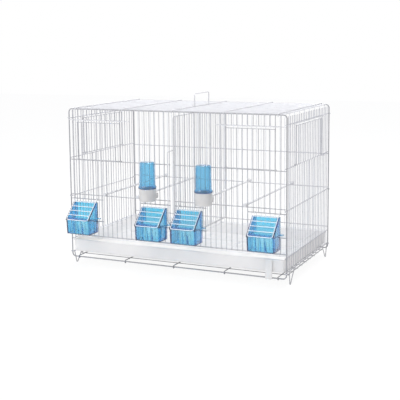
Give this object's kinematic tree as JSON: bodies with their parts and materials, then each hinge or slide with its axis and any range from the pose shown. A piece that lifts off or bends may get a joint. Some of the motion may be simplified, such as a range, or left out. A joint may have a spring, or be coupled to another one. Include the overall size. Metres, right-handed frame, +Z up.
{
  "type": "bird breeding cage",
  "caption": "Bird breeding cage of white coated wire with lift-up doors, blue hooded seed feeders, inverted drinkers, perches, a removable divider, a wire floor and a pull-out tray",
  "frame": {"origin": "on the floor, under the middle of the overall box", "axes": "+X to the right across the front as seen from in front, -Y to the front, +Z up"},
  "size_m": [0.6278, 0.405, 0.4522],
  "materials": {
    "white_wire": "white plastic coated wire",
    "feeder_blue": "clear blue moulded plastic",
    "bottle_blue": "clear blue moulded plastic",
    "cup_white": "warm white moulded plastic",
    "perch_grey": "light grey plastic",
    "tray_white": "warm white moulded plastic"
  },
  "bodies": {
    "cage": {"front_frame": "white_wire", "front_bars": "white_wire", "front_rails": "white_wire", "front_door_guides": "white_wire", "back_frame": "white_wire", "back_bars": "white_wire", "back_rails": "white_wire", "base_cross_wires": "white_wire", "base_bars": "white_wire", "left_side_bars": "white_wire", "left_side_rails": "white_wire", "right_side_bars": "white_wire", "right_side_rails": "white_wire", "left_feet": "white_wire", "right_feet": "white_wire", "feeder_1": "feeder_blue", "feeder_2": "feeder_blue", "feeder_3": "feeder_blue", "feeder_4": "feeder_blue"},
    "roof": {"roof_cross_wires": "white_wire", "roof_bars": "white_wire"},
    "handle": {"carry_handle": "white_wire"},
    "front_door_left": {"front_door_left": "white_wire"},
    "front_door_right": {"front_door_right": "white_wire"},
    "side_door_left": {"left_side_door": "white_wire"},
    "side_door_right": {"right_side_door": "white_wire"},
    "flap_1": {"feeder_flap_1": "white_wire"},
    "flap_2": {"feeder_flap_2": "white_wire"},
    "flap_3": {"feeder_flap_3": "white_wire"},
    "flap_4": {"feeder_flap_4": "white_wire"},
    "tray": {"tray": "tray_white"},
    "floor": {"floor_grille": "white_wire"},
    "divider": {"divider": "white_wire"},
    "drinker_left": {"drinker_cup_left": "cup_white"},
    "bottle_left": {"drinker_bottle_left": "bottle_blue"},
    "drinker_right": {"drinker_cup_right": "cup_white"},
    "bottle_right": {"drinker_bottle_right": "bottle_blue"},
    "perch_1": {"perch_1": "perch_grey"},
    "perch_2": {"perch_2": "perch_grey"},
    "perch_3": {"perch_3": "perch_grey"},
    "perch_4": {"perch_4": "perch_grey"}
  },
  "joints": [
    {"name": "roof_hinge", "type": "hinge", "parent": "cage", "child": "roof", "pos_m": [0, 0.19575, 0.414], "axis": [-1, 0, 0], "range_deg": [0, 100]},
    {"name": "handle_fold", "type": "hinge", "parent": "roof", "child": "handle", "pos_m": [0, 0.02375, 0.41723], "axis": [0, -1, 0], "range_deg": [0, 84]},
    {"name": "front_door_slide_left", "type": "slide", "parent": "cage", "child": "front_door_left", "axis": [0, 0, 1], "range_m": [0, 0.098]},
    {"name": "front_door_slide_right", "type": "slide", "parent": "cage", "child": "front_door_right", "axis": [0, 0, 1], "range_m": [0, 0.098]},
    {"name": "side_door_slide_left", "type": "slide", "parent": "cage", "child": "side_door_left", "axis": [0, 0, 1], "range_m": [0, 0.097]},
    {"name": "side_door_slide_right", "type": "slide", "parent": "cage", "child": "side_door_right", "axis": [0, 0, 1], "range_m": [0, 0.097]},
    {"name": "flap_hinge_1", "type": "hinge", "parent": "cage", "child": "flap_1", "pos_m": [-0.25116, -0.14855, 0.178], "axis": [-1, 0, 0], "range_deg": [0, 80]},
    {"name": "flap_hinge_2", "type": "hinge", "parent": "cage", "child": "flap_2", "pos_m": [-0.04884, -0.14855, 0.178], "axis": [-1, 0, 0], "range_deg": [0, 40]},
    {"name": "flap_hinge_3", "type": "hinge", "parent": "cage", "child": "flap_3", "pos_m": [0.04884, -0.14855, 0.178], "axis": [-1, 0, 0], "range_deg": [0, 40]},
    {"name": "flap_hinge_4", "type": "hinge", "parent": "cage", "child": "flap_4", "pos_m": [0.25116, -0.14855, 0.178], "axis": [-1, 0, 0], "range_deg": [0, 80]},
    {"name": "tray_slide", "type": "slide", "parent": "cage", "child": "tray", "axis": [0, -1, 0], "range_m": [0, 0.3]},
    {"name": "floor_slide", "type": "slide", "parent": "cage", "child": "floor", "axis": [0, -1, 0], "range_m": [0, 0.3]},
    {"name": "divider_slide", "type": "slide", "parent": "cage", "child": "divider", "axis": [0, -1, 0], "range_m": [0, 0.31]},
    {"name": "drinker_pull_left", "type": "slide", "parent": "cage", "child": "drinker_left", "axis": [0, -1, 0], "range_m": [0, 0.045]},
    {"name": "bottle_lift_left", "type": "slide", "parent": "drinker_left", "child": "bottle_left", "axis": [0, 0, 1], "range_m": [0, 0.03]},
    {"name": "drinker_pull_right", "type": "slide", "parent": "cage", "child": "drinker_right", "axis": [0, -1, 0], "range_m": [0, 0.045]},
    {"name": "bottle_lift_right", "type": "slide", "parent": "drinker_right", "child": "bottle_right", "axis": [0, 0, 1], "range_m": [0, 0.03]},
    {"name": "perch_lift_1", "type": "slide", "parent": "cage", "child": "perch_1", "axis": [0, 0, 1], "range_m": [0, 0.05]},
    {"name": "perch_lift_2", "type": "slide", "parent": "cage", "child": "perch_2", "axis": [0, 0, 1], "range_m": [0, 0.05]},
    {"name": "perch_lift_3", "type": "slide", "parent": "cage", "child": "perch_3", "axis": [0, 0, 1], "range_m": [0, 0.05]},
    {"name": "perch_lift_4", "type": "slide", "parent": "cage", "child": "perch_4", "axis": [0, 0, 1], "range_m": [0, 0.05]}
  ]
}
